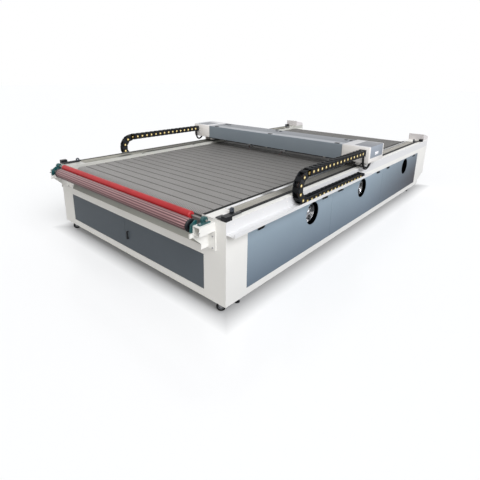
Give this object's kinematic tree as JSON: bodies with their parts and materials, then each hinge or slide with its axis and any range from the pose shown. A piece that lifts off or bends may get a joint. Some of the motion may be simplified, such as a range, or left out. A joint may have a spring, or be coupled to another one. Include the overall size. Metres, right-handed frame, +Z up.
{
  "type": "gantry laser cutting machine",
  "caption": "Large gantry laser cutting machine with a slatted conveyor table, feed rollers at the front, side drag chains and a covered gantry carrying laser heads.",
  "frame": {"origin": "centre of the machine's bounding box, at floor level under the levelling feet", "axes": "+Y from the feed rollers along the gantry's travel to the rear towers, +X to the right side of the machine seen from its feed end, +Z up"},
  "size_m": [3.254, 5.842, 1.201],
  "materials": {
    "cream_paint": "satin powder coat",
    "slate_paint": "satin powder coat",
    "blue_grey_paint": "satin powder coat",
    "gantry_grey": "satin powder coat",
    "housing_cream": "satin powder coat",
    "olive_sheet": "matt sheet",
    "belt_steel": "matt ribbed slats",
    "bright_steel": "ground",
    "channel_metal": "extruded",
    "black_rubber": "matt",
    "black_plastic": "matt",
    "chain_plastic": "semi-matt",
    "red_rubber": "smooth",
    "striped_rubber": "striped",
    "teal_iron": "enamel",
    "fan_cream": "satin",
    "zinc": "zinc plated",
    "cable_black": "smooth"
  },
  "bodies": {
    "frame": {"base_frame": "cream_paint", "side_panel_right_1": "blue_grey_paint", "side_panel_right_2": "blue_grey_paint", "side_panel_right_3": "blue_grey_paint", "side_panel_left_1": "blue_grey_paint", "side_panel_left_2": "blue_grey_paint", "side_panel_left_3": "blue_grey_paint", "exhaust_fan_1": "fan_cream", "exhaust_fan_2": "fan_cream", "table_apron": "olive_sheet", "conveyor_belt": "belt_steel", "travel_rail_right": "bright_steel", "rail_channel_right": "channel_metal", "travel_belt_right": "black_rubber", "belt_anchor_front_right": "black_plastic", "belt_anchor_rear_right": "black_plastic", "chain_tray_right": "cream_paint", "feeder_arm_right": "cream_paint", "pillow_block_right": "teal_iron", "flange_bearing_right": "teal_iron", "chain_lower_right": "chain_plastic", "travel_rail_left": "bright_steel", "rail_channel_left": "channel_metal", "travel_belt_left": "black_rubber", "belt_anchor_front_left": "black_plastic", "belt_anchor_rear_left": "black_plastic", "chain_tray_left": "cream_paint", "feeder_arm_left": "cream_paint", "pillow_block_left": "teal_iron", "flange_bearing_left": "teal_iron", "chain_lower_left": "chain_plastic", "levelling_foot_front_right": "zinc", "levelling_foot_front_left": "zinc", "levelling_foot_rear_right": "zinc", "levelling_foot_rear_left": "zinc"},
    "gantry": {"gantry_beam": "gantry_grey", "end_housing_right": "housing_cream", "chain_upper_right": "chain_plastic", "chain_cable_right": "cable_black", "end_housing_left": "housing_cream", "chain_upper_left": "chain_plastic", "chain_cable_left": "cable_black"},
    "heads": {"laser_head_1": "zinc", "laser_head_2": "zinc"},
    "chain_bend_right": {"chain_bend_right": "chain_plastic"},
    "door_right": {"front_door_right": "slate_paint"},
    "chain_bend_left": {"chain_bend_left": "chain_plastic"},
    "door_left": {"front_door_left": "slate_paint"},
    "idler_roller": {"idler_roller": "zinc"},
    "drive_roller": {"drive_roller": "zinc"},
    "press_roller": {"press_roller": "red_rubber"},
    "feed_roller": {"feed_roller": "striped_rubber"},
    "fork_front_right": {"caster_fork_front_right": "zinc"},
    "wheel_front_right": {"caster_wheel_front_right": "black_rubber"},
    "fork_front_left": {"caster_fork_front_left": "zinc"},
    "wheel_front_left": {"caster_wheel_front_left": "black_rubber"},
    "fork_rear_right": {"caster_fork_rear_right": "zinc"},
    "wheel_rear_right": {"caster_wheel_rear_right": "black_rubber"},
    "fork_rear_left": {"caster_fork_rear_left": "zinc"},
    "wheel_rear_left": {"caster_wheel_rear_left": "black_rubber"}
  },
  "joints": [
    {"name": "gantry_travel", "type": "slide", "parent": "frame", "child": "gantry", "axis": [0, 1, 0], "range_m": [-1.85, 2.05], "deforming": ["chain_upper_right", "chain_lower_right", "chain_upper_left", "chain_lower_left"]},
    {"name": "head_travel", "type": "slide", "parent": "gantry", "child": "heads", "axis": [1, 0, 0], "range_m": [-0.75, 0.85]},
    {"name": "chain_bend_right_travel", "type": "slide", "parent": "frame", "child": "chain_bend_right", "axis": [0, 1, 0], "range_m": [-0.93, 1.03]},
    {"name": "chain_bend_left_travel", "type": "slide", "parent": "frame", "child": "chain_bend_left", "axis": [0, 1, 0], "range_m": [-0.93, 1.03]},
    {"name": "door_right_hinge", "type": "hinge", "parent": "frame", "child": "door_right", "pos_m": [1.229, -2.693, 0.36], "axis": [0, 0, 1], "range_deg": [0, 110]},
    {"name": "door_left_hinge", "type": "hinge", "parent": "frame", "child": "door_left", "pos_m": [-1.229, -2.693, 0.36], "axis": [0, 0, -1], "range_deg": [0, 110]},
    {"name": "drive_roller_spin", "type": "hinge", "parent": "frame", "child": "drive_roller", "pos_m": [0, 2.522, 0.825], "axis": [1, 0, 0], "continuous": true},
    {"name": "idler_roller_spin", "type": "hinge", "parent": "frame", "child": "idler_roller", "pos_m": [0, -2.568, 0.825], "axis": [1, 0, 0], "continuous": true},
    {"name": "feed_roller_spin", "type": "hinge", "parent": "frame", "child": "feed_roller", "pos_m": [0, -2.863, 0.87], "axis": [1, 0, 0], "continuous": true},
    {"name": "press_roller_spin", "type": "hinge", "parent": "frame", "child": "press_roller", "pos_m": [0, -2.782, 0.917], "axis": [1, 0, 0], "continuous": true},
    {"name": "caster_front_right_swivel", "type": "hinge", "parent": "frame", "child": "fork_front_right", "pos_m": [1.37, -2.643, 0.08], "axis": [0, 0, 1], "continuous": true},
    {"name": "caster_front_right_roll", "type": "hinge", "parent": "fork_front_right", "child": "wheel_front_right", "pos_m": [1.3866, -2.62857, 0.0465], "axis": [0.6561, -0.7547, 0], "continuous": true},
    {"name": "caster_front_left_swivel", "type": "hinge", "parent": "frame", "child": "fork_front_left", "pos_m": [-1.37, -2.643, 0.08], "axis": [0, 0, 1], "continuous": true},
    {"name": "caster_front_left_roll", "type": "hinge", "parent": "fork_front_left", "child": "wheel_front_left", "pos_m": [-1.359, -2.62395, 0.0465], "axis": [0.866, -0.5, 0], "continuous": true},
    {"name": "caster_rear_right_swivel", "type": "hinge", "parent": "frame", "child": "fork_rear_right", "pos_m": [1.37, 2.597, 0.08], "axis": [0, 0, 1], "continuous": true},
    {"name": "caster_rear_right_roll", "type": "hinge", "parent": "fork_rear_right", "child": "wheel_rear_right", "pos_m": [1.36248, 2.57633, 0.0465], "axis": [-0.9397, 0.342, 0], "continuous": true},
    {"name": "caster_rear_left_swivel", "type": "hinge", "parent": "frame", "child": "fork_rear_left", "pos_m": [-1.37, 2.597, 0.08], "axis": [0, 0, 1], "continuous": true},
    {"name": "caster_rear_left_roll", "type": "hinge", "parent": "fork_rear_left", "child": "wheel_rear_left", "pos_m": [-1.35586, 2.58015, 0.0465], "axis": [-0.766, -0.6428, 0], "continuous": true}
  ],
  "couplings": [
    {"joint": "chain_bend_right_travel", "follows": "gantry_travel", "ratio": 0.5},
    {"joint": "chain_bend_left_travel", "follows": "gantry_travel", "ratio": 0.5},
    {"joint": "idler_roller_spin", "follows": "drive_roller_spin", "ratio": 1},
    {"joint": "press_roller_spin", "follows": "feed_roller_spin", "ratio": -1.5417}
  ]
}
